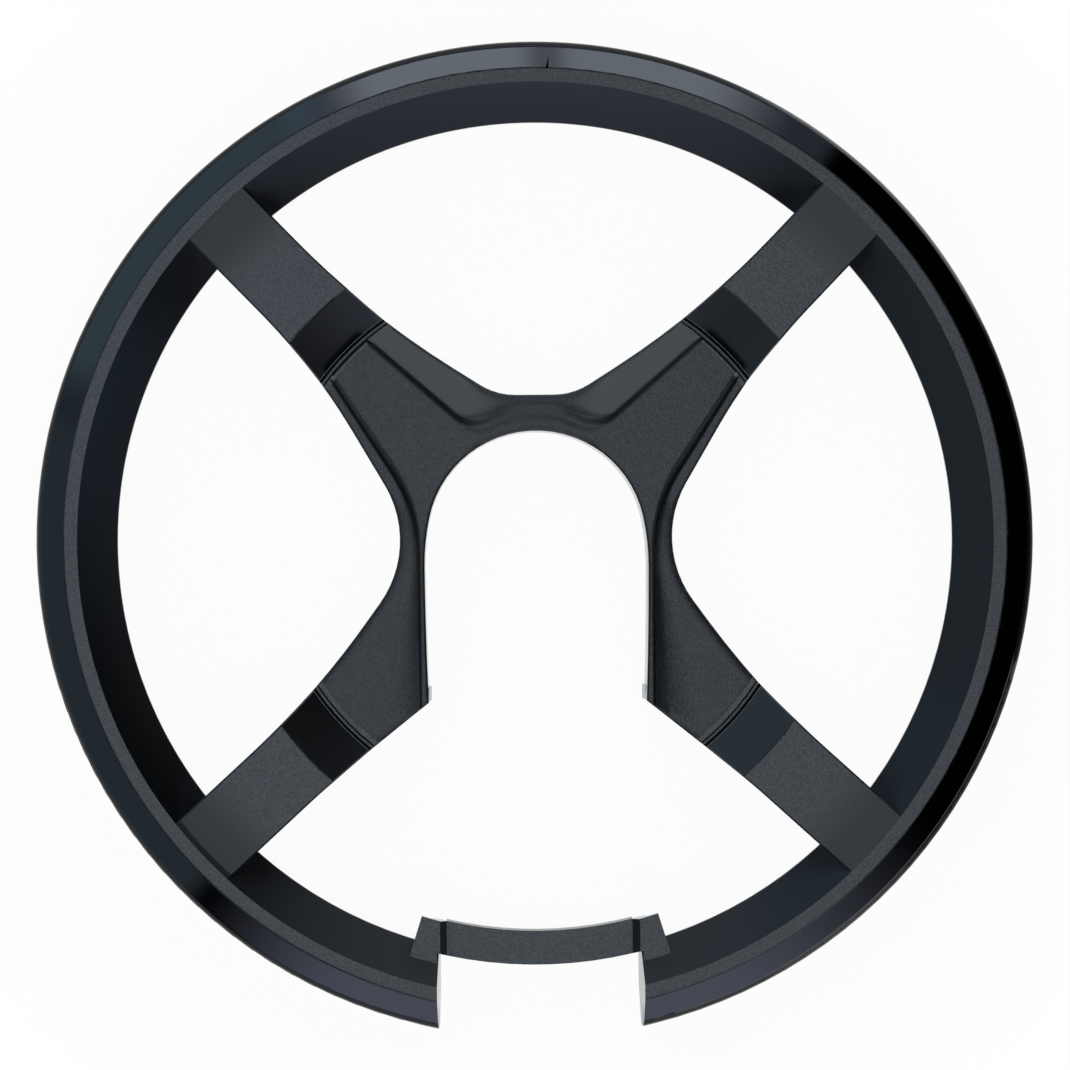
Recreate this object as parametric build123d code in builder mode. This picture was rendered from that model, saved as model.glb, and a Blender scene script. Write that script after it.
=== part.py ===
from build123d import *
import os
from math import cos, radians, sin, tan

# Bicycle chain guard, moulded in one piece. Millimetres.
# X is to the right and Y is up as the guard hangs on the crank with the crank arm
# pointing down. Z runs along the crank axis, out of the front face.
# The origin is on the crank axis, in the plane of the screw bosses' ends.

# Ring: a hollow rim, open at the back, with a sloping outer band, a narrow flat crest
# and a sloping inner wall that ends in a thin lip
outer_radius = 90.2
band_width = 5.65
crest_width = 2.45
inner_wall_width = 6.15
crest_height = 13.0
rim_height = 9.7
lip_height = 6.0
ring_back_height = 5.5
wall = 2.0
rim_round = 3.0
crest_round = 0.8

# Spokes and hub, seen from the front
spoke_width = 13.7
upper_spoke_angle = 44.0
lower_spoke_angle = 47.6
upper_flare_offset = 1.6
lower_flare_offset = -0.5
foot_flare_offset = 9.1
top_flare_share = 0.66
side_flare_share = 0.35
lower_flare_share = 0.46
foot_flare_share = 0.15
hub_top_band = 6.65
hub_top_half_width = 7.0
hub_top_round = 12.0
waist_band = 1.22
waist_y = -0.9
waist_round = 19.7

# Opening for the crank boss and arm
seat_radius = 19.8
seat_end_angle = 12.0
leg_spread = 0.5
leg_drop = 5.0
leg_taper = 0.55
tip_y = -29.35
nib_width = 2.6
nib_reach = 0.35
nib_height = 5.0

# Section through a spoke and the hub, from the axis out to the ring
hub_centre_height = 4.5
hub_edge_height = 6.3
step_foot_radius = 48.9
step_run = 7.7
step_top_round = 1.0
groove_inset = 0.75
groove_width = 1.2
groove_floor_width = 0.4
groove_depth = 0.8
spoke_height = 12.0
root_run = 13.1
web_wall = 2.2
skirt_wall = 1.6
back_flat_run = 0.9
back_rise_run = 5.5
spoke_back_height = 6.4
edge_chamfer = 0.3

# Raised collar round the opening, running out into a panel on each upper arm
collar_height = 8.2
leg_rim_width = 1.3
leg_rim_draft = 15.0
panel_gap = 0.1
panel_side_y = 6.9
panel_side_angle = 56.3
panel_side_draft = 29.0
panel_side_round = 29.0
panel_top_angle = 41.5
panel_top_draft = 20.0
dip_x = 11.4
dip_drop = 0.7
dip_angle = 22.8
dip_draft = 42.0
dip_round = 6.5
collar_top_band = 2.75
collar_top_round = 7.0
cove_drop = 0.4
cove_start_y = -6.0
cove_start_width = 1.6
cove_end_y = -36.0
cove_end_width = 8.1

# Notch in the ring for the crank arm, with the bridge strap behind it
notch_half_width = 18.65
notch_draft = 2.5
gusset_angle = 17.5
gusset_height = 9.0
gusset_reach = 4.9
gusset_half_width = 18.1
gusset_wall = 2.2
gusset_end_draft = 6.0
bridge_height = 4.0
bridge_half_width = 17.0
bridge_reach = 4.45
bridge_overlap = 1.75
bridge_end_draft = 10.0
end_web_wall = 2.0
end_web_inset = 6.5
end_web_back = 1.8

# Blind screw bosses at the back
boss_circle = 104.0
boss_count = 4
boss_radius = 4.0
pilot_radius = 2.1
pilot_depth = 4.3

# How far a face's normal leans forward: at least for a front face, at most for a side
face_lean = 0.5
side_lean = 0.001

# Worked out from the sizes above
crest_outer_radius = outer_radius - band_width
crest_inner_radius = crest_outer_radius - crest_width
inner_lip_radius = crest_inner_radius - inner_wall_width
wall_lean = inner_wall_width / (crest_height - lip_height)
wall_across = wall * (1 + wall_lean**2) ** 0.5
root_start_radius = crest_inner_radius - root_run
plan_radius = crest_inner_radius + wall_across
step_top_radius = step_foot_radius + step_run
upper_flare_reach = step_foot_radius + upper_flare_offset
lower_flare_reach = step_foot_radius + lower_flare_offset
foot_flare_reach = step_foot_radius + foot_flare_offset
groove_radius = step_foot_radius - groove_inset
groove_edge = groove_radius - groove_width / 2
panel_end_radius = groove_edge - panel_gap
leg_half_width = seat_radius + leg_spread
tip_half_width = leg_half_width - leg_taper
leg_rim_half_width = tip_half_width + leg_rim_width
hub_top_height = seat_radius + hub_top_band
waist_x = seat_radius + waist_band
reach = 2 * outer_radius
above = 2 * crest_height


def wall_radius(height):
    # Radius of the ring's inner wall, front side, at a height
    return inner_lip_radius + (height - lip_height) * wall_lean


def hub_height(radius):
    # Height of the hub's shallow cone at a radius
    return hub_centre_height + (hub_edge_height - hub_centre_height) * radius / groove_edge


def spoke_edge(angle, distance, side, up):
    # Point on a spoke's edge: angle is from the Y axis, side is +1 or -1 across the spoke
    half = side * spoke_width / 2
    x = distance * sin(radians(angle)) + half * cos(radians(angle))
    y = distance * cos(radians(angle)) - half * sin(radians(angle))
    return (x, up * y)


def mirrored(points):
    # The same points on the other side of the Y axis, in reverse order
    return [(-x, y) for x, y in reversed(points)]


def flare_round(points, share):
    # Radius of a round at the second of three points that takes a share of the line after it
    start, corner, end = [Vector(*point) for point in points]
    turn = (corner - start).get_angle(end - corner)
    return share * (end - corner).length / tan(radians(turn / 2))


def front_outline(solid):
    # Edges between the faces that look forward and the upright sides
    forward = solid.faces().filter_by(lambda face: face.normal_at().Z > face_lean)
    upright = solid.faces().filter_by(lambda face: abs(face.normal_at().Z) < side_lean)
    return forward.edges() & upright.edges()


# Front line of the ring section, from the outer rim over the crest to the inner lip
ring_line = [
    (outer_radius, ring_back_height - wall),
    (outer_radius, rim_height),
    (crest_outer_radius, crest_height),
    (crest_inner_radius, crest_height),
    (wall_radius(ring_back_height - wall), ring_back_height - wall),
]

with BuildPart() as ring:
    with BuildSketch(Plane.XZ) as ring_section:
        with BuildLine():
            Polyline(*ring_line)
            offset(amount=wall, side=Side.LEFT)
        make_face()
        with Locations((outer_radius, ring_back_height)):
            Rectangle(
                outer_radius - inner_lip_radius,
                crest_height,
                align=(Align.MAX, Align.MIN),
                mode=Mode.INTERSECT,
            )
        fillet(vertices().sort_by_distance((outer_radius, rim_height))[0], rim_round)
        fillet(vertices().sort_by_distance((crest_outer_radius, crest_height))[0], crest_round)
    revolve(axis=Axis.Z)

# Solid ends of the ring beside the notch, reaching back to the bridge
end_line = [
    (outer_radius, ring_back_height),
    (outer_radius, rim_height),
    (crest_outer_radius, crest_height),
    (crest_inner_radius, crest_height),
    (inner_lip_radius, lip_height),
    (inner_lip_radius, end_web_back),
    (outer_radius - end_web_inset, end_web_back),
]

with BuildPart() as end_webs:
    with BuildSketch(Plane.XZ) as end_section:
        with BuildLine():
            Polyline(*end_line, close=True)
        make_face()
        fillet(vertices().sort_by_distance((outer_radius, rim_height))[0], rim_round)
        fillet(vertices().sort_by_distance((crest_outer_radius, crest_height))[0], crest_round)
    revolve(axis=Axis.Z)
    with BuildSketch() as end_slab:
        Rectangle(
            2 * (notch_half_width + end_web_wall), reach, align=(Align.CENTER, Align.MAX)
        )
    extrude(amount=above, mode=Mode.INTERSECT)

# Front outline of the spokes and hub: a disc less four windows and the crank opening
top_half = [
    spoke_edge(upper_spoke_angle, reach, -1, 1),
    spoke_edge(upper_spoke_angle, upper_flare_reach, -1, 1),
    (hub_top_half_width, hub_top_height),
]
side_points = [
    spoke_edge(upper_spoke_angle, reach, 1, 1),
    spoke_edge(upper_spoke_angle, upper_flare_reach, 1, 1),
    (waist_x, waist_y),
    spoke_edge(lower_spoke_angle, lower_flare_reach, 1, -1),
    spoke_edge(lower_spoke_angle, reach, 1, -1),
]
foot_half = [
    spoke_edge(lower_spoke_angle, reach, -1, -1),
    spoke_edge(lower_spoke_angle, foot_flare_reach, -1, -1),
    (tip_half_width, tip_y),
]
top_rounds = [0, flare_round(top_half, top_flare_share), hub_top_round]
side_rounds = [
    0,
    flare_round(side_points[:3], side_flare_share),
    waist_round,
    flare_round(side_points[:1:-1], lower_flare_share),
    0,
]
foot_rounds = [0, flare_round(foot_half, foot_flare_share), 0]

with BuildSketch() as windows:
    for points, rounds in (
        (top_half + mirrored(top_half), top_rounds + top_rounds[::-1]),
        (side_points, side_rounds),
        (mirrored(side_points), side_rounds[::-1]),
        (foot_half + mirrored(foot_half), foot_rounds + foot_rounds[::-1]),
    ):
        with BuildLine():
            FilletPolyline(*points, radius=rounds, close=True)
        make_face()

with BuildSketch() as opening:
    with BuildLine():
        seat = CenterArc((0, 0), seat_radius, seat_end_angle, 180 - 2 * seat_end_angle)
        shoulder = TangentArc(seat @ 0, (leg_half_width, -leg_drop), tangent=-(seat % 0))
        leg = TangentArc(shoulder @ 1, (tip_half_width, tip_y), tangent=shoulder % 1)
        Polyline(leg @ 1, (tip_half_width, tip_y - wall), (0, tip_y - wall))
        mirror(about=Plane.YZ)
    make_face()

with BuildSketch() as plan:
    Circle(plan_radius)
    add(windows.sketch, mode=Mode.SUBTRACT)
    add(opening.sketch, mode=Mode.SUBTRACT)

with BuildSketch() as plan_inset:
    offset(plan.sketch, amount=-skirt_wall)


def dish_line(lowered):
    # Front line of a section through a spoke and the hub, lowered by a wall
    Polyline(
        (0, hub_centre_height - lowered),
        (groove_edge, hub_edge_height - lowered),
        (step_foot_radius, hub_edge_height - lowered),
        (step_top_radius, spoke_height - lowered),
        (root_start_radius, spoke_height - lowered),
    )
    root = TangentArc(
        (root_start_radius, spoke_height - lowered),
        (crest_inner_radius, crest_height - lowered),
        tangent=(1, 0),
    )
    return Line(root @ 1, (crest_inner_radius + wall_across / 2, crest_height - lowered))


# Hollow back under the spokes and hub, less the screw bosses
with BuildPart() as pocket:
    with BuildSketch(Plane.XZ) as pocket_section:
        with BuildLine():
            pocket_line = dish_line(web_wall)
            Polyline(
                pocket_line @ 1,
                (plan_radius, -wall),
                (0, -wall),
                (0, hub_centre_height - web_wall),
            )
        make_face()
    revolve(axis=Axis.Z)
    extrude(plan_inset.sketch, amount=above, both=True, mode=Mode.INTERSECT)
    with PolarLocations(boss_circle / 2, boss_count, start_angle=180 / boss_count):
        Cylinder(boss_radius, reach, mode=Mode.SUBTRACT)

# Spokes and hub: a dished disc cut to the outline, with eased front edges
back_flat_radius = step_top_radius + back_flat_run
with BuildPart() as web:
    with BuildSketch(Plane.XZ) as web_section:
        with BuildLine():
            root_line = dish_line(0)
            Polyline(
                root_line @ 1,
                (wall_radius(spoke_back_height) + wall_across / 2, spoke_back_height),
                (back_flat_radius + back_rise_run, spoke_back_height),
                (back_flat_radius, 0),
                (0, 0),
                (0, hub_centre_height),
            )
        make_face()
        fillet(vertices().sort_by_distance((step_top_radius, spoke_height))[0], step_top_round)
    revolve(axis=Axis.Z)
    extrude(plan.sketch, amount=above, mode=Mode.INTERSECT)
    chamfer(front_outline(web.part), edge_chamfer)
    add(pocket.part, mode=Mode.SUBTRACT)

# Raised collar and arm panels. Each line of the outline is a point, a direction that keeps
# the collar on its left, and the draft of the side below it.
panel_depth = collar_height - hub_centre_height
dip = (dip_x, seat_radius - dip_drop)
rim_side = ((leg_rim_half_width, 0), 90, leg_rim_draft)
arm_side = ((leg_rim_half_width, panel_side_y), panel_side_angle, panel_side_draft)
arm_top = (dip, 180 + panel_top_angle, panel_top_draft)
dip_side = (dip, 180 - dip_angle, dip_draft)
collar_top = ((0, seat_radius + collar_top_band), 180, dip_draft)


def moved(line, depth):
    # A point on a line after its drafted side has run down by a depth
    (x, y), angle, draft = line
    run = depth * tan(radians(draft))
    return (x + run * sin(radians(angle)), y - run * cos(radians(angle)))


def meet(line, other, depth):
    # Where two lines cross after their sides have run down by a depth
    x, y = moved(line, depth)
    u, v = moved(other, depth)
    turn = sin(radians(other[1] - line[1]))
    along = ((u - x) * sin(radians(other[1])) - (v - y) * cos(radians(other[1]))) / turn
    return (x + along * cos(radians(line[1])), y + along * sin(radians(line[1])))


def leaving(line, turned, depth):
    # Where a line, followed forwards or turned back, passes the panel's end
    x, y = moved(line, depth)
    along = (cos(radians(line[1] + turned)), sin(radians(line[1] + turned)))
    ahead = x * along[0] + y * along[1]
    run = (ahead**2 + (panel_end_radius + wall) ** 2 - x**2 - y**2) ** 0.5 - ahead
    return (x + run * along[0], y + run * along[1])


with BuildPart() as panel:
    for depth in (0, panel_depth):
        side_fall = depth * tan(radians(panel_side_draft))
        top_fall = depth * tan(radians(panel_top_draft))
        dip_fall = depth * tan(radians(dip_draft))
        panel_half = [
            (moved(rim_side, depth)[0], tip_y - wall),
            meet(rim_side, arm_side, depth),
            leaving(arm_side, 0, depth),
            leaving(arm_top, 180, depth),
            meet(arm_top, dip_side, depth),
            meet(dip_side, collar_top, depth),
        ]
        panel_rounds = [
            0,
            panel_side_round - side_fall,
            0,
            0,
            dip_round - top_fall,
            collar_top_round + dip_fall,
        ]
        with BuildSketch(Plane.XY.offset(collar_height - depth)):
            with BuildLine():
                FilletPolyline(
                    *(panel_half + mirrored(panel_half)),
                    radius=panel_rounds + panel_rounds[::-1],
                    close=True,
                )
            make_face()
    loft(ruled=True)
    with BuildSketch() as panel_limit:
        add(plan.sketch)
        Circle(panel_end_radius, mode=Mode.INTERSECT)
    extrude(amount=above, mode=Mode.INTERSECT)
    panel_face = panel.faces().sort_by(Axis.Z)[-1]
    chamfer(panel_face.edges() & front_outline(panel.part), edge_chamfer)

# Hollow slope from the collar's rim down to each lower arm, widening towards the leg's tip
cove_top = collar_height - cove_drop
with BuildPart() as cove:
    for y, width in ((cove_start_y, cove_start_width), (cove_end_y, cove_end_width)):
        foot_x = leg_rim_half_width + width
        foot_z = hub_height((foot_x**2 + y**2) ** 0.5)
        with BuildSketch(Plane.XZ.offset(-y)):
            with BuildLine():
                slope = TangentArc(
                    (foot_x, foot_z), (leg_rim_half_width, cove_top), tangent=(-1, 0)
                )
                Polyline(
                    slope @ 1,
                    (leg_rim_half_width, hub_centre_height),
                    (foot_x, hub_centre_height),
                    slope @ 0,
                )
            make_face()
    loft()
    mirror(about=Plane.YZ)
    extrude(panel_limit.sketch, amount=above, mode=Mode.INTERSECT)

# Room for the crank arm outside the strap, with a drafted inner end
strap_foot_radius = inner_lip_radius + bridge_overlap + bridge_height * tan(radians(bridge_end_draft))
with BuildPart() as arm_room:
    with BuildSketch():
        Rectangle(2 * notch_half_width, reach, align=(Align.CENTER, Align.MAX))
    extrude(amount=above)
    with BuildSketch():
        Circle(strap_foot_radius)
    extrude(amount=crest_height, taper=bridge_end_draft, mode=Mode.SUBTRACT)

# Strap behind the notch, stepped up at each end to a gusset on the ring's inner wall
gusset_foot_radius = inner_lip_radius - gusset_reach + gusset_height * tan(radians(gusset_end_draft))
with BuildPart() as bridge:
    with BuildSketch(Plane.XZ) as bridge_section:
        with BuildLine():
            Polyline(
                (-reach, gusset_height),
                (-gusset_half_width, gusset_height),
                (-bridge_half_width, bridge_height),
                (bridge_half_width, bridge_height),
                (gusset_half_width, gusset_height),
                (reach, gusset_height),
            )
            offset(amount=gusset_wall, side=Side.RIGHT)
        make_face()
    extrude(amount=reach)
    with BuildSketch() as gusset_plan:
        Circle(wall_radius(gusset_height) + wall_across / 2)
        with BuildLine():
            edge_x = reach * tan(radians(gusset_angle))
            Polyline((0, 0), (edge_x, -reach), (-edge_x, -reach), (0, 0))
        make_face(mode=Mode.INTERSECT)
    extrude(amount=above, mode=Mode.INTERSECT)
    with BuildSketch():
        Circle(gusset_foot_radius)
    extrude(amount=crest_height, taper=gusset_end_draft, mode=Mode.SUBTRACT)
    add(arm_room.part, mode=Mode.SUBTRACT)
    with BuildSketch(Plane.XY.offset(bridge_height)) as strap_plan:
        Rectangle(2 * bridge_half_width, reach, align=(Align.CENTER, Align.MAX))
        Circle(inner_lip_radius, mode=Mode.INTERSECT)
        Circle(inner_lip_radius - bridge_reach, mode=Mode.SUBTRACT)
    extrude(amount=-gusset_wall)

# Small lead-in ramps inside the leg tips
with BuildPart() as nibs:
    with BuildSketch(Plane.XZ.offset(-tip_y)):
        with BuildLine():
            Polyline(
                (tip_half_width + skirt_wall / 2, nib_height),
                (tip_half_width, nib_height),
                (tip_half_width - nib_reach, 0),
                (tip_half_width + skirt_wall / 2, 0),
                close=True,
            )
        make_face()
    extrude(amount=-nib_width)
    mirror(about=Plane.YZ)

with BuildPart() as chain_guard:
    add(ring.part)
    add(end_webs.part)
    with BuildSketch(Plane.XY.offset(crest_height)) as notch:
        Rectangle(2 * notch_half_width, reach, align=(Align.CENTER, Align.MAX))
    extrude(amount=-above, taper=notch_draft, mode=Mode.SUBTRACT)
    add(bridge.part)
    add(web.part)
    add(panel.part)
    add(cove.part)
    add(nibs.part)
    with BuildSketch(Plane.XZ) as groove:
        with BuildLine():
            floor = hub_edge_height - groove_depth
            Polyline(
                (groove_edge, hub_edge_height),
                (groove_radius - groove_floor_width / 2, floor),
                (groove_radius + groove_floor_width / 2, floor),
                (groove_radius + groove_width / 2, hub_edge_height),
                (groove_radius + groove_width / 2, crest_height),
                (groove_edge, crest_height),
                close=True,
            )
        make_face()
    revolve(axis=Axis.Z, mode=Mode.SUBTRACT)
    with PolarLocations(boss_circle / 2, boss_count, start_angle=180 / boss_count):
        Cylinder(
            pilot_radius,
            pilot_depth,
            align=(Align.CENTER, Align.CENTER, Align.MIN),
            mode=Mode.SUBTRACT,
        )

os.makedirs("parts", exist_ok=True)
chain_guard.part.label = "chain_guard"
export_step(chain_guard.part, "parts/chain_guard.step")
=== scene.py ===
import math

import bpy
from mathutils import Matrix, Vector

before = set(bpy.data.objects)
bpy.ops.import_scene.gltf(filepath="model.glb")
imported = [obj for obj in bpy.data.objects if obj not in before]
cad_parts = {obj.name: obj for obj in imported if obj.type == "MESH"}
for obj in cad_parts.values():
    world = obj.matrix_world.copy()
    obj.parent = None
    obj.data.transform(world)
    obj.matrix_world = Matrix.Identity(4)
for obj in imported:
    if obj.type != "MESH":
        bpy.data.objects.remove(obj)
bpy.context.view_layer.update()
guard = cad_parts["chain_guard"]
scene = bpy.context.scene
mm = 0.001


# the standard sRGB curve
def linearColour(hexText):
    channels = [int(hexText[i:i + 2], 16) / 255 for i in (1, 3, 5)]
    return [c / 12.92 if c <= 0.04045 else ((c + 0.055) / 1.055) ** 2.4 for c in channels] + [1.0]


# A Mix node's colours are its inputs 6 and 7 and its output 2, as its socket names repeat.
def addNode(tree, kind, settings=None, inputs=None):
    node = tree.nodes.new("ShaderNode" + kind)
    for name, value in (settings or {}).items():
        setattr(node, name, value)
    for place, value in (inputs or {}).items():
        if isinstance(value, bpy.types.NodeSocket):
            tree.links.new(value, node.inputs[place])
        else:
            node.inputs[place].default_value = value
    return node.outputs


# Black ABS, injection moulded. The tool gives each face its finish: spark-eroded grain with fine
# pits on the fronts, satin slopes, glossy upright walls, a hub with fainter grain and soft edges,
# and a polished outer band with faint flow lines and a short line at the top with no shine, which
# shows dark. Towards the spokes' roots the grain fades out into painted shade, darker and duller.
# The round at the rim is dull, or it would mirror the floor as a white line.
# Sizes are in millimetres.
plasticLook = {
    "sheen": "#e7f3ff",
    "ior": 1.58,
    "grainLow": "#060607",
    "grainHigh": "#3a3e41",
    "grainSize": 0.38,  # coarser than the real grain, which would be too fine to show
    "grainDetail": 2.0,
    "grainRoughness": 0.6,
    "grainContrast": (0.3, 0.7),
    "flowSize": 0.9,
    "flowDetail": 1.0,
    "edgeSamples": 8,
    "panelCorner": (11.4, 19.1),
    "panelTopAngle": 41.5,
    "darkLineStart": (2.56, 84.5),
    "darkLineTip": (2.96, 87.0),
    "darkLineWidth": 0.52,
    # where a finish is: what is measured there, where it starts and where it is full
    "zones": {
        # which way a face looks, from 0 for upright to 1 for level
        "flat": ("upward", 0.94, 0.98),
        "front": ("upward", 0.4, 0.5),
        "open": ("upward", 0.2, 0.35),
        "steep": ("upward", 0.35, 0.2),
        "leaning": ("roundedUpward", 0.985, 0.93),
        "sideways": ("roundedUpward", 0.85, 0.7),
        # hub, collar and panels
        "hub": ("radius", 46.7, 46.5),
        "hubFlat": ("radius", 47.65, 47.55),
        "overCollar": ("radius", 22.5, 23.3),
        "underTop": ("radius", 25.5, 24.5),
        "low": ("height", 6.65, 6.55),
        "centre": ("side", 10.0, 5.0),
        "middle": ("side", 14.0, 9.0),
        "beside": ("side", 5.0, 12.0),
        "upper": ("up", 16.0, 17.0),
        "lower": ("up", 10.0, 4.0),
        "overPanel": ("overPanelTop", -0.02, 0.02),
        "underPanel": ("overPanelTop", 0.02, -0.02),
        # spokes' roots, where shade is painted
        "root": ("radius", 67.0, 78.0),
        "rootEnd": ("radius", 80.8, 81.3),
        "inCrest": ("radius", 82.05, 81.95),
        "high": ("height", 10.4, 10.6),
        "leftHalf": ("toRight", -40.0, -48.0),
        "lowerHalf": ("up", -40.0, -48.0),
        # outer band, its rim and the side under it
        "band": ("radius", 84.38, 84.62),
        "outside": ("radius", 86.4, 86.6),
        "overBand": ("height", 10.56, 10.42),
        "overEdge": ("height", 10.35, 10.14),
        "overSide": ("height", 9.33, 8.73),
        "underEdge": ("height", 8.55, 8.2),
        "rightward": ("toRight", 58.0, 70.0),
        "rightHalf": ("toRight", 36.0, 48.0),
        "upperHalf": ("up", 36.0, 50.0),
        # short dark line on the band
        "darkLineSides": ("insideDarkLine", -0.05, 0.05),
        "darkLineLength": ("alongDarkLine", -0.25, -0.15),
    },
    # soft mould edges of the hub; a later one lies over those before it where all its zones are
    "edges": {
        "plain": {"zones": (), "round": 0.0},
        "hub": {"zones": ("hub",), "round": 0.7},
        "flange": {"zones": ("hub", "low", "underPanel", "lower"), "round": 2.6},
        "collarTop": {"zones": ("hub", "middle", "upper"), "round": 2.6},
    },
    # finishes, laid over one another in the same way
    "finishes": {
        "slope": {
            "zones": (),
            "colour": "#020203",
            "roughness": 0.27,
            "shine": 0.5,
            "grain": 0.0,
            "pitDepth": 0.0,
            "flow": 0.0,
        },
        "wall": {"zones": ("steep",), "roughness": 0.1},
        "face": {"zones": ("flat",), "roughness": 0.42, "grain": 1.0, "pitDepth": 0.06},
        "hub": {
            "zones": ("hub", "open"),
            "roughness": 0.42,
            "shine": 0.48,
            "grain": 0.6,
            "pitDepth": 0.11,
        },
        "hollow": {
            "zones": ("hub", "open", "leaning"),
            "roughness": 0.3,
            "grain": 0.4,
            "pitDepth": 0.04,
        },
        # painted shade: the top middle of the hub over the collar has less shine, so it shows darker
        "saddleShade": {"zones": ("centre", "upper", "overCollar", "underTop"), "shine": 0.34},
        # painted shade: the panels' side slopes lose most grain and shine, so they show as near-black
        # lines
        "panelSideShade": {
            "zones": ("hub", "open", "underPanel", "sideways"),
            "shine": 0.08,
            "grain": 0.2,
            "pitDepth": 0.0,
        },
        "border": {
            "zones": ("hubFlat", "low", "overPanel", "flat", "beside"),
            "colour": "#222527",
            "shine": 0.5,
            "grain": 0.0,
            "pitDepth": 0.0,
        },
        # painted shade: grain and shine fade out towards the crest, so the spokes' roots show darker
        # and duller
        "root": {
            "zones": ("flat", "root", "inCrest", "high"),
            "shine": 0.36,
            "grain": 0.0,
            "pitDepth": 0.0,
        },
        # painted shade: a darker, duller line at the root of the lower-left spoke only, next to the
        # crest
        "rootShadeLine": {
            "zones": ("flat", "rootEnd", "inCrest", "high", "leftHalf", "lowerHalf"),
            "shine": 0.12,
        },
        "band": {
            "zones": ("band",),
            "colour": "#020203",
            "roughness": 0.05,
            "grain": 0.0,
            "pitDepth": 0.0,
            "flow": 0.004,
        },
        "rim": {"zones": ("outside", "overEdge"), "shine": 0.08},
        # painted shade: on the right side the rim's round reflects almost nothing, so it shows black
        "rimRightShade": {"zones": ("outside", "overBand", "rightward"), "shine": 0.02},
        # painted highlight: only at the upper right does the rim's round shine, so it mirrors a light
        # line there
        "rimUpperRightHighlight": {"zones": ("outside", "overEdge", "rightHalf", "upperHalf"), "shine": 0.55},
        "rimSide": {"zones": ("outside", "overSide"), "shine": 0.0},
        "side": {"zones": ("outside", "underEdge"), "shine": 0.5, "roughness": 0.15},
        # a short line across the top of the band with no shine, which shows dark
        "darkLine": {"zones": ("band", "front", "darkLineSides", "darkLineLength"), "shine": 0.0},
    },
}


def layFinishes(tree, measures, look, finishes):
    zones = {}
    surface = {}
    for finish in finishes.values():
        share = 1.0
        for name in finish["zones"]:
            if name not in zones:
                measure, begin, full = look["zones"][name]
                span = {"Value": measures[measure], "From Min": begin, "From Max": full}
                zones[name] = addNode(tree, "MapRange", {"interpolation_type": "SMOOTHSTEP"}, span)[0]
            both = {0: share, 1: zones[name]}
            share = addNode(tree, "Math", {"operation": "MULTIPLY"}, both)[0]
        for name, value in finish.items():
            if name == "zones":
                continue
            if name == "colour":
                value = linearColour(value)
            if name not in surface:
                surface[name] = value
            elif name == "colour":
                mixed = {0: share, 6: surface[name], 7: value}
                surface[name] = addNode(tree, "Mix", {"data_type": "RGBA"}, mixed)[2]
            else:
                mixed = {"Factor": share, "A": surface[name], "B": value}
                surface[name] = addNode(tree, "Mix", None, mixed)[0]
    return surface


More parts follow.
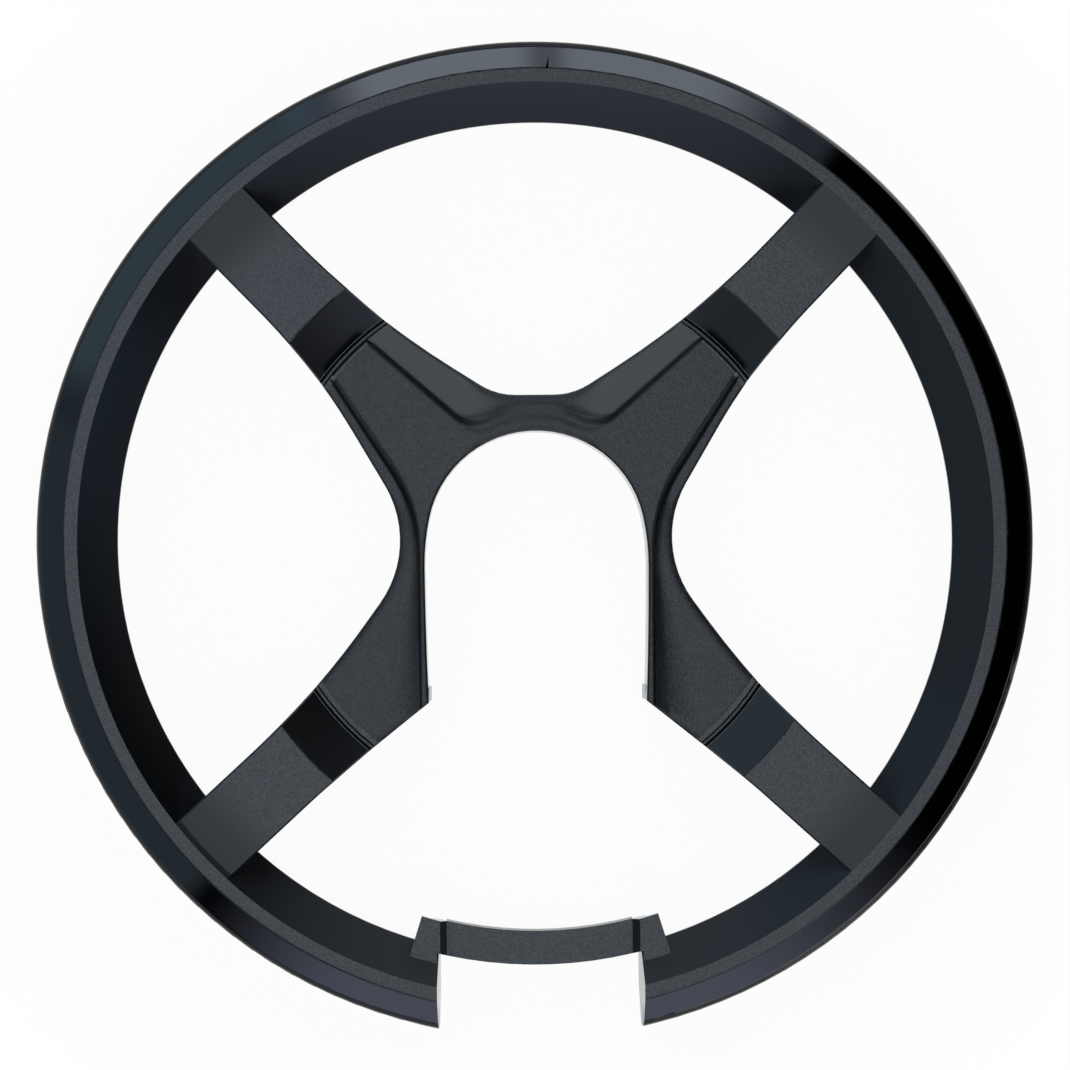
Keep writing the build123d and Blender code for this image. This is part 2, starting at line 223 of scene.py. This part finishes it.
def makePlastic(look):
    material = bpy.data.materials.new("black ABS, injection moulded")
    material.use_nodes = True
    tree = material.node_tree
    tree.nodes.clear()
    place = addNode(tree, "TexCoord")["Object"]
    inMm = addNode(tree, "VectorMath", {"operation": "SCALE"}, {0: place, "Scale": 1 / mm})[0]
    x, y, z = addNode(tree, "SeparateXYZ", None, {0: inMm})
    inPlan = addNode(tree, "VectorMath", {"operation": "MULTIPLY"}, {0: inMm, 1: (1, 1, 0)})[0]
    radius = addNode(tree, "VectorMath", {"operation": "LENGTH"}, {0: inPlan})["Value"]
    normal = addNode(tree, "NewGeometry")["Normal"]
    upward = addNode(tree, "SeparateXYZ", None, {0: normal})["Z"]

    # distance past the line along the panels' tops, the same on both sides
    cornerX, cornerY = look["panelCorner"]
    rise = math.tan(math.radians(look["panelTopAngle"]))
    side = addNode(tree, "Math", {"operation": "ABSOLUTE"}, {0: x})[0]
    line = {0: side, 1: rise, 2: cornerY - rise * cornerX}
    lineY = addNode(tree, "Math", {"operation": "MULTIPLY_ADD"}, line)[0]
    overPanelTop = addNode(tree, "Math", {"operation": "SUBTRACT"}, {0: y, 1: lineY})[0]

    # the short dark line on the band is a thin wedge from the crest to its tip
    start = Vector((*look["darkLineStart"], 0))
    run = Vector((*look["darkLineTip"], 0)) - start
    way = run.normalized()
    off = addNode(tree, "VectorMath", {"operation": "SUBTRACT"}, {0: inPlan, 1: start})[0]
    alongDarkLine = addNode(tree, "VectorMath", {"operation": "DOT_PRODUCT"}, {0: off, 1: way})["Value"]
    acrossWay = way.cross(Vector((0, 0, 1)))
    across = addNode(tree, "VectorMath", {"operation": "DOT_PRODUCT"}, {0: off, 1: acrossWay})["Value"]
    across = addNode(tree, "Math", {"operation": "ABSOLUTE"}, {0: across})[0]
    half = look["darkLineWidth"] / 2
    taper = {0: alongDarkLine, 1: -half / run.length, 2: half}
    halfHere = addNode(tree, "Math", {"operation": "MULTIPLY_ADD"}, taper)[0]
    insideDarkLine = addNode(tree, "Math", {"operation": "SUBTRACT"}, {0: halfHere, 1: across})[0]

    measures = {
        "upward": upward,
        "radius": radius,
        "height": z,
        "side": side,
        "toRight": x,
        "up": y,
        "overPanelTop": overPanelTop,
        "insideDarkLine": insideDarkLine,
        "alongDarkLine": alongDarkLine,
    }
    edges = layFinishes(tree, measures, look, look["edges"])
    edge = addNode(tree, "Math", {"operation": "MULTIPLY"}, {0: edges["round"], 1: mm})[0]
    rounded = addNode(tree, "Bevel", {"samples": look["edgeSamples"]}, {"Radius": edge})[0]
    measures["roundedUpward"] = addNode(tree, "SeparateXYZ", None, {0: rounded})["Z"]
    surface = layFinishes(tree, measures, look, look["finishes"])

    # grain: one noise gives both the speckle and the pits
    noise = {
        "Vector": inMm,
        "Scale": 1 / look["grainSize"],
        "Detail": look["grainDetail"],
        "Roughness": look["grainRoughness"],
    }
    pits = addNode(tree, "TexNoise", None, noise)[0]
    darkest, lightest = look["grainContrast"]
    contrast = {"Value": pits, "From Min": darkest, "From Max": lightest}
    speckle = addNode(tree, "MapRange", None, contrast)[0]
    low, high = linearColour(look["grainLow"]), linearColour(look["grainHigh"])
    grainColour = addNode(tree, "Mix", {"data_type": "RGBA"}, {0: speckle, 6: low, 7: high})[2]

    # flow lines run round the ring
    turn = addNode(tree, "Math", {"operation": "ARCTAN2"}, {0: y, 1: x})[0]
    ringPlace = addNode(tree, "CombineXYZ", None, {"X": radius, "Y": turn})[0]
    flowLines = {"Vector": ringPlace, "Scale": 1 / look["flowSize"], "Detail": look["flowDetail"]}
    flow = addNode(tree, "TexNoise", None, flowLines)[0]

    mixed = {0: surface["grain"], 6: surface["colour"], 7: grainColour}
    colour = addNode(tree, "Mix", {"data_type": "RGBA"}, mixed)[2]
    ripple = addNode(tree, "Math", {"operation": "MULTIPLY"}, {0: flow, 1: surface["flow"]})[0]
    relief = {0: pits, 1: surface["pitDepth"], 2: ripple}
    height = addNode(tree, "Math", {"operation": "MULTIPLY_ADD"}, relief)[0]
    bump = addNode(tree, "Bump", None, {"Distance": mm, "Height": height, "Normal": rounded})[0]
    shading = {
        "Base Color": colour,
        "IOR": look["ior"],
        "Specular IOR Level": surface["shine"],
        "Specular Tint": linearColour(look["sheen"]),
        "Roughness": surface["roughness"],
        "Normal": bump,
    }
    shader = addNode(tree, "BsdfPrincipled", None, shading)[0]
    addNode(tree, "OutputMaterial", None, {"Surface": shader})
    return material


guard.data.materials.clear()
guard.data.materials.append(makePlastic(plasticLook))
print("plastic done")

# White paper floor under the part, matt. The camera and the plastic see it almost evenly white,
# with a faint shadow that fades out over shadowReach, in millimetres from the middle.
floorLook = {"colour": "#f6f6f6", "size": 9.0, "white": 0.95, "shadowReach": (100.0, 140.0)}


def makeFloor(look):
    bpy.ops.mesh.primitive_plane_add(size=look["size"], location=(0, 0, 0))
    floor = bpy.context.object
    floor.name = "paper floor"
    material = bpy.data.materials.new("white paper, matt")
    material.use_nodes = True
    tree = material.node_tree
    tree.nodes.clear()
    paper = addNode(tree, "BsdfDiffuse", None, {"Color": linearColour(look["colour"])})[0]
    glow = addNode(tree, "Emission", None, {"Color": (1, 1, 1, 1), "Strength": 1.0})[0]
    rays = addNode(tree, "LightPath")
    seen = rays["Is Camera Ray"]
    for other in ("Is Glossy Ray", "Is Transmission Ray"):
        seen = addNode(tree, "Math", {"operation": "MAXIMUM"}, {0: seen, 1: rays[other]})[0]
    place = addNode(tree, "TexCoord")["Object"]
    away = addNode(tree, "VectorMath", {"operation": "LENGTH"}, {0: place})["Value"]
    begin, end = [distance * mm for distance in look["shadowReach"]]
    fade = {"Value": away, "From Min": begin, "From Max": end, "To Min": look["white"]}
    white = addNode(tree, "MapRange", None, fade)[0]
    share = addNode(tree, "Math", {"operation": "MULTIPLY"}, {0: seen, 1: white})[0]
    mixed = addNode(tree, "MixShader", None, {0: share, 1: paper, 2: glow})[0]
    addNode(tree, "OutputMaterial", None, {"Surface": mixed})
    floor.data.materials.append(material)


makeFloor(floorLook)
print("floor done")

# A studio round the part: soft light straight above and less to the far, near and left sides,
# low cards behind and in front, a window at the left and a dark right side. Each panel runs
# between two azimuths from the X axis and two heights over the floor, all in degrees.
# None is an open end. soft is how wide its start, end, foot and top fade. Azimuths run from the
# seam, and only the panels on a ray's own side of the split are worked out, which saves time.
studioLook = {
    "seam": -30.0,
    "split": 32.5,
    "low": {
        "far right card": {
            "across": (62.5, 86.1), "up": (12, 26), "soft": (14, 6, 8, 8),
            "level": 2.2, "colour": "#fbfdff",
        },
        "far left card": {
            "across": (88.6, 111.7), "up": (12, 26), "soft": (6, 9, 8, 8),
            "level": 2.3, "colour": "#fbfdff",
        },
        "far wall": {
            "across": (51.5, 118), "up": (None, 24), "soft": (3, 8, 0, 8),
            "level": 0.45, "colour": "#e2ecff",
        },
        "left window": {
            "across": (115, 161), "up": (4, 28), "soft": (8, 8, 8, 8),
            "level": 0.85, "colour": "#d2f0ff",
        },
        "left wall": {
            "across": (163, 226), "up": (None, 30), "soft": (8, 4, 0, 8),
            "level": 0.46, "colour": "#daf2ff",
        },
        "near card": {
            "across": (238, 307), "up": (7.5, 27), "soft": (24, 36, 8, 8),
            "level": 1.48, "colour": "#ecebff",
        },
        "near wall": {
            "across": (236, 320), "up": (None, 10), "soft": (8, 8, 0, 10),
            "level": 0.36, "colour": "#e2e8ff",
        },
        "right wall": {
            "across": (None, 0), "up": (None, 6), "soft": (0, 30, 0, 6),
            "level": 0.85, "colour": "#bcdeff",
        },
        "room": {
            "across": (None, None), "up": (24, None), "soft": (0, 0, 10, 0),
            "level": 0.2, "colour": "#ffffff",
        },
    },
    "high": {
        "overhead": {
            "across": (None, None), "up": (75, None), "soft": (0, 0, 12, 0),
            "level": 2.9, "colour": "#ffffff",
        },
        "left skylight": {
            "across": (130, 158), "up": (58, 82), "soft": (14, 14, 12, 6),
            "level": 2.0, "colour": "#cfe6ff",
        },
        "right skylight": {
            "across": (302, 324), "up": (62, 82), "soft": (8, 8, 10, 6),
            "level": 1.0, "colour": "#ffffff",
        },
        "left ceiling": {
            "across": (120, 245), "up": (38, 70), "soft": (30, 20, 14, 14),
            "level": 0.45, "colour": "#f2faff",
        },
        "far ceiling": {
            "across": (44, 120), "up": (36, 70), "soft": (20, 30, 16, 14),
            "level": 0.2, "colour": "#ffffff",
        },
        "near ceiling": {
            "across": (245, 312), "up": (38, 70), "soft": (20, 20, 14, 14),
            "level": 1.0, "colour": "#ffffff",
        },
        "room": {
            "across": (None, None), "up": (None, 42), "soft": (0, 0, 0, 10),
            "level": 0.2, "colour": "#ffffff",
        },
    },
}


def makeStudio(look):
    world = bpy.data.worlds.new("studio")
    scene.world = world
    world.use_nodes = True
    tree = world.node_tree
    tree.nodes.clear()
    way = addNode(tree, "TexCoord")["Generated"]
    x, y, z = addNode(tree, "SeparateXYZ", None, {0: way})
    turn = addNode(tree, "Math", {"operation": "ARCTAN2"}, {0: y, 1: x})[0]
    turn = addNode(tree, "Math", {"operation": "DEGREES"}, {0: turn})[0]
    span = {0: turn, 1: look["seam"] + 360, 2: look["seam"]}
    azimuth = addNode(tree, "Math", {"operation": "WRAP"}, span)[0]
    lift = addNode(tree, "Math", {"operation": "ARCSINE"}, {0: z})[0]
    elevation = addNode(tree, "Math", {"operation": "DEGREES"}, {0: lift})[0]
    angles = (azimuth, azimuth, elevation, elevation)
    senses = (1, -1, 1, -1)
    lights = []
    for panels in (look["low"], look["high"]):
        total = (0.0, 0.0, 0.0)
        for panel in panels.values():
            share = panel["level"]
            ends = panel["across"] + panel["up"]
            for angle, sense, end, soft in zip(angles, senses, ends, panel["soft"]):
                if end is None:
                    continue
                fade = {
                    "Value": angle,
                    "From Min": end - sense * soft / 2,
                    "From Max": end + sense * soft / 2,
                }
                inside = addNode(tree, "MapRange", {"interpolation_type": "SMOOTHSTEP"}, fade)[0]
                share = addNode(tree, "Math", {"operation": "MULTIPLY"}, {0: share, 1: inside})[0]
            added = {0: share, 1: linearColour(panel["colour"])[:3], 2: total}
            total = addNode(tree, "VectorMath", {"operation": "MULTIPLY_ADD"}, added)[0]
        lights.append(addNode(tree, "Background", None, {"Color": total, "Strength": 1.0})[0])
    over = addNode(tree, "Math", {"operation": "GREATER_THAN"}, {0: elevation, 1: look["split"]})[0]
    light = addNode(tree, "MixShader", None, {0: over, 1: lights[0], 2: lights[1]})[0]
    addNode(tree, "OutputWorld", None, {"Surface": light})


makeStudio(studioLook)
print("studio done")

# Camera almost straight above the part, as in the photo. Sizes are in millimetres, roll in degrees.
cameraLook = {
    "place": (-8.25, 1.05, 438.0),
    "aim": (-0.35, 0.87, 13.0),
    "roll": 0.536,
    "lens": 79.88,
    "sensor": 36.0,
    "nearest": 10.0,
}


def makeCamera(look):
    data = bpy.data.cameras.new("photo camera")
    data.lens = look["lens"]
    data.sensor_width = look["sensor"]
    data.clip_start = look["nearest"] * mm
    camera = bpy.data.objects.new("photo camera", data)
    scene.collection.objects.link(camera)
    place = Vector(look["place"])
    back = (place - Vector(look["aim"])).normalized()
    right = Vector((0, 1, 0)).cross(back).normalized()
    up = back.cross(right)
    turn = math.radians(look["roll"])
    across = right * math.cos(turn) - up * math.sin(turn)
    upright = right * math.sin(turn) + up * math.cos(turn)
    matrix = Matrix((across, upright, back)).transposed().to_4x4()
    matrix.translation = place * mm
    camera.matrix_world = matrix
    scene.camera = camera


makeCamera(cameraLook)
scene.view_settings.view_transform = "Standard"
print("camera done")
